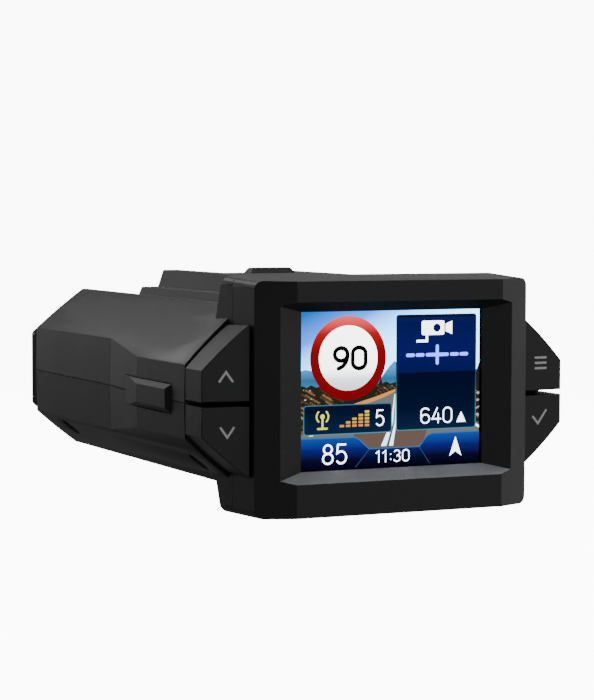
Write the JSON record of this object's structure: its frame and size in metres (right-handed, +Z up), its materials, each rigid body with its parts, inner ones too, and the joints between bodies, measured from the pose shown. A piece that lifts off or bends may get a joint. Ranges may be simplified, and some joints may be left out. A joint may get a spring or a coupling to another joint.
{
  "type": "radar detector",
  "caption": "Radar detector with a colour display head, wing keys beside it and a bracket channel on top of a faceted case.",
  "frame": {"origin": "middle of the bracket channel's floor, on top of the case", "axes": "+X to the driver's right, +Y towards the road, +Z up"},
  "size_m": [0.0822, 0.1181, 0.0478],
  "materials": {
    "case_plastic": "fine-textured dark grey ABS",
    "head_plastic": "fine-textured dark grey ABS",
    "key_plastic": "satin dark grey ABS",
    "dock_plastic": "satin dark grey acetal",
    "window_gloss": "polished infrared-clear black polycarbonate",
    "screen_glass": "clear hard-coated window over the lit display",
    "lcd_module": "laminated display cell with backlight",
    "steel_frame": "stamped stainless frame",
    "circuit_board": "green solder-resist glass epoxy",
    "switch_body": "black glass-filled nylon",
    "tin_shield": "tinned steel",
    "die_cast": "die-cast zinc-aluminium horn",
    "ceramic": "patch aerial ceramic",
    "lens": "moulded infrared lens",
    "speaker_cone": "black mylar and steel",
    "capacitor_sleeve": "shrink sleeve",
    "flex_film": "polyimide film",
    "contact_gold": "gold-plated contacts",
    "spring_steel": "bright spring wire",
    "screw_steel": "zinc-plated steel"
  },
  "bodies": {
    "housing": {"front_bezel": "head_plastic", "head_collar": "head_plastic", "display_window": "screen_glass", "lcd_panel": "lcd_module", "lcd_frame": "steel_frame", "display_board": "circuit_board", "upper_case": "case_plastic", "lower_case": "case_plastic", "rear_window": "window_gloss", "laser_lens": "lens", "key_board_left": "circuit_board", "key_board_right": "circuit_board", "key_switches": "switch_body", "main_board": "circuit_board", "side_switch": "switch_body", "shield_can": "tin_shield", "horn_antenna": "die_cast", "gps_antenna": "ceramic", "laser_sensor": "switch_body", "speaker": "speaker_cone", "backup_capacitors": "capacitor_sleeve", "usb_port": "steel_frame", "display_ribbon": "flex_film", "dock_plate": "dock_plastic", "dock_contacts": "contact_gold", "latch_spring": "spring_steel", "case_screws": "screw_steel", "board_screws": "screw_steel", "bezel_screws": "screw_steel", "display_screws": "screw_steel", "collar_screws": "screw_steel", "dock_screws": "screw_steel"},
    "key_up": {"key_up": "key_plastic"},
    "key_down": {"key_down": "key_plastic"},
    "key_menu": {"key_menu": "key_plastic"},
    "key_confirm": {"key_confirm": "key_plastic"},
    "side_key": {"side_key": "key_plastic"},
    "release_latch": {"release_latch": "dock_plastic"}
  },
  "joints": [
    {"name": "press_up", "type": "slide", "parent": "housing", "child": "key_up", "axis": [0, 1, 0], "range_m": [0, 0.00045], "stiffness_N_per_m": 900, "springref_m": -0.001},
    {"name": "press_down", "type": "slide", "parent": "housing", "child": "key_down", "axis": [0, 1, 0], "range_m": [0, 0.00045], "stiffness_N_per_m": 900, "springref_m": -0.001},
    {"name": "press_menu", "type": "slide", "parent": "housing", "child": "key_menu", "axis": [0, 1, 0], "range_m": [0, 0.00045], "stiffness_N_per_m": 900, "springref_m": -0.001},
    {"name": "press_confirm", "type": "slide", "parent": "housing", "child": "key_confirm", "axis": [0, 1, 0], "range_m": [0, 0.00045], "stiffness_N_per_m": 900, "springref_m": -0.001},
    {"name": "press_side", "type": "slide", "parent": "housing", "child": "side_key", "axis": [1, 0, 0], "range_m": [0, 0.0005], "stiffness_N_per_m": 900, "springref_m": -0.001},
    {"name": "release_press", "type": "slide", "parent": "housing", "child": "release_latch", "axis": [0, 0, -1], "range_m": [0, 0.0013], "stiffness_N_per_m": 600, "springref_m": -0.002, "deforming": ["latch_spring"]}
  ]
}
